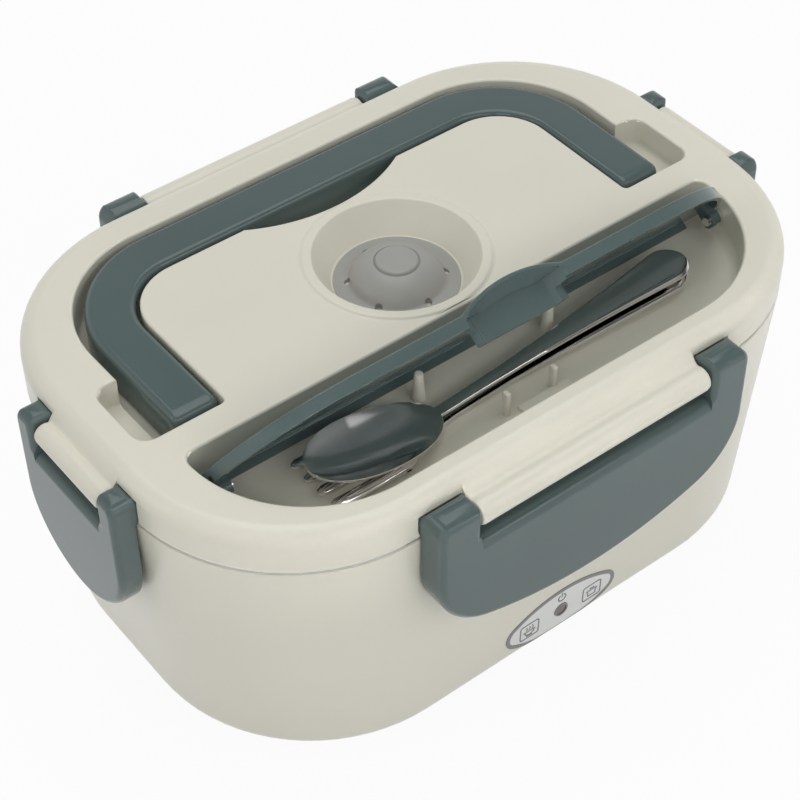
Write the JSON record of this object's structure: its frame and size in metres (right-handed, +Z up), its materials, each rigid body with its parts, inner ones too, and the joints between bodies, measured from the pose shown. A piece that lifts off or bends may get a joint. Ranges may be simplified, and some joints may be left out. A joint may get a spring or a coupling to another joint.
{
  "type": "electric lunch box",
  "caption": "Rounded electric lunch box with a lift-off lid, side latches, folding carrying handle, steam valve and a lid recess for cutlery.",
  "frame": {"origin": "centre of the bounding box on the table under the feet", "axes": "+X along the box's length to the viewer's right, +Z up, the cutlery recess and the power panel face -Y"},
  "size_m": [0.2496, 0.1774, 0.1309],
  "materials": {
    "ivory_plastic": "fine satin moulding",
    "teal_plastic": "fine satin moulding",
    "silicone": "soft matt silicone",
    "foot_rubber": "matt rubber",
    "bright_steel": "polished stainless steel",
    "sheet_steel": "brushed stainless sheet",
    "heater_aluminium": "cast plate",
    "dark_plastic": "electrical moulding",
    "panel_print": "smooth printed label plate",
    "lamp_plastic": "tinted clear lens",
    "box_plastic": "food-grade moulding",
    "wool_pad": "pressed fibre sheet",
    "wire_sleeve": "insulated wire"
  },
  "bodies": {
    "base": {"outer_shell": "ivory_plastic", "bottom_cover": "ivory_plastic", "bottom_screws": "bright_steel", "rubber_feet": "foot_rubber", "inner_liner": "sheet_steel", "heating_plate": "heater_aluminium", "ptc_heater": "heater_aluminium", "heater_bracket": "sheet_steel", "heater_screws": "bright_steel", "thermostat": "dark_plastic", "thermal_fuse": "dark_plastic", "insulation_pad": "wool_pad", "indicator_board": "dark_plastic", "indicator_lamp": "lamp_plastic", "lamp_lens": "lamp_plastic", "lamp_bezel": "panel_print", "power_panel": "panel_print", "inlet_housing": "dark_plastic", "inlet_pins": "bright_steel", "live_lead": "wire_sleeve", "neutral_lead": "wire_sleeve", "lamp_leads": "wire_sleeve"},
    "tray": {"steel_tray": "bright_steel"},
    "box": {"compartment_box": "box_plastic"},
    "box_lid": {"compartment_lid": "box_plastic"},
    "lid": {"lid_shell": "ivory_plastic", "lid_inner_cover": "ivory_plastic", "lid_gasket": "silicone", "lid_screws": "bright_steel", "handle_pins": "bright_steel", "cover_pins": "bright_steel", "latch_pins": "bright_steel"},
    "handle": {"carry_handle": "teal_plastic"},
    "valve": {"steam_valve": "silicone"},
    "cover": {"cutlery_cover": "teal_plastic"},
    "front_clasp": {"front_latch": "teal_plastic"},
    "back_clasp": {"back_latch": "teal_plastic"},
    "left_clasp": {"left_latch": "teal_plastic"},
    "right_clasp": {"right_latch": "teal_plastic"},
    "spoon_body": {"spoon": "bright_steel"},
    "fork_body": {"fork": "bright_steel"}
  },
  "joints": [
    {"name": "tray_lift", "type": "slide", "parent": "base", "child": "tray", "axis": [0, 0, 1], "range_m": [0, 0.06]},
    {"name": "lid_lift", "type": "slide", "parent": "base", "child": "lid", "axis": [0, 0, 1], "range_m": [0, 0.12]},
    {"name": "box_lift", "type": "slide", "parent": "tray", "child": "box", "axis": [0, 0, 1], "range_m": [0, 0.03]},
    {"name": "box_lid_lift", "type": "slide", "parent": "box", "child": "box_lid", "axis": [0, 0, 1], "range_m": [0, 0.015]},
    {"name": "front_latch_swing", "type": "hinge", "parent": "lid", "child": "front_clasp", "pos_m": [0, -0.084, 0.0953], "axis": [-1, 0, 0], "range_deg": [0, 105]},
    {"name": "back_latch_swing", "type": "hinge", "parent": "lid", "child": "back_clasp", "pos_m": [0, 0.084, 0.0953], "axis": [1, 0, 0], "range_deg": [0, 105]},
    {"name": "left_latch_swing", "type": "hinge", "parent": "lid", "child": "left_clasp", "pos_m": [-0.1206, 0, 0.0955], "axis": [0, 1, 0], "range_deg": [0, 105]},
    {"name": "right_latch_swing", "type": "hinge", "parent": "lid", "child": "right_clasp", "pos_m": [0.1206, 0, 0.0955], "axis": [0, -1, 0], "range_deg": [0, 105]},
    {"name": "handle_fold", "type": "hinge", "parent": "lid", "child": "handle", "pos_m": [0, -0.0045, 0.098], "axis": [1, 0, 0], "range_deg": [0, 90]},
    {"name": "valve_pull", "type": "slide", "parent": "lid", "child": "valve", "axis": [0, 0, 1], "range_m": [0, 0.003]},
    {"name": "cover_swing", "type": "hinge", "parent": "lid", "child": "cover", "pos_m": [0, -0.0352, 0.0979], "axis": [-1, 0, 0], "range_deg": [-58, 0]},
    {"name": "spoon_lift", "type": "slide", "parent": "lid", "child": "spoon_body", "axis": [0, -0.53, 0.848], "range_m": [0, 0.06]},
    {"name": "fork_lift", "type": "slide", "parent": "lid", "child": "fork_body", "axis": [0, -0.53, 0.848], "range_m": [0, 0.03]}
  ],
  "couplings": [
    {"joint": "lid_lift", "follows": "tray_lift", "ratio": 2},
    {"joint": "box_lift", "follows": "tray_lift", "ratio": 0.5},
    {"joint": "box_lid_lift", "follows": "tray_lift", "ratio": 0.25},
    {"joint": "fork_lift", "follows": "spoon_lift", "ratio": 0.5}
  ]
}
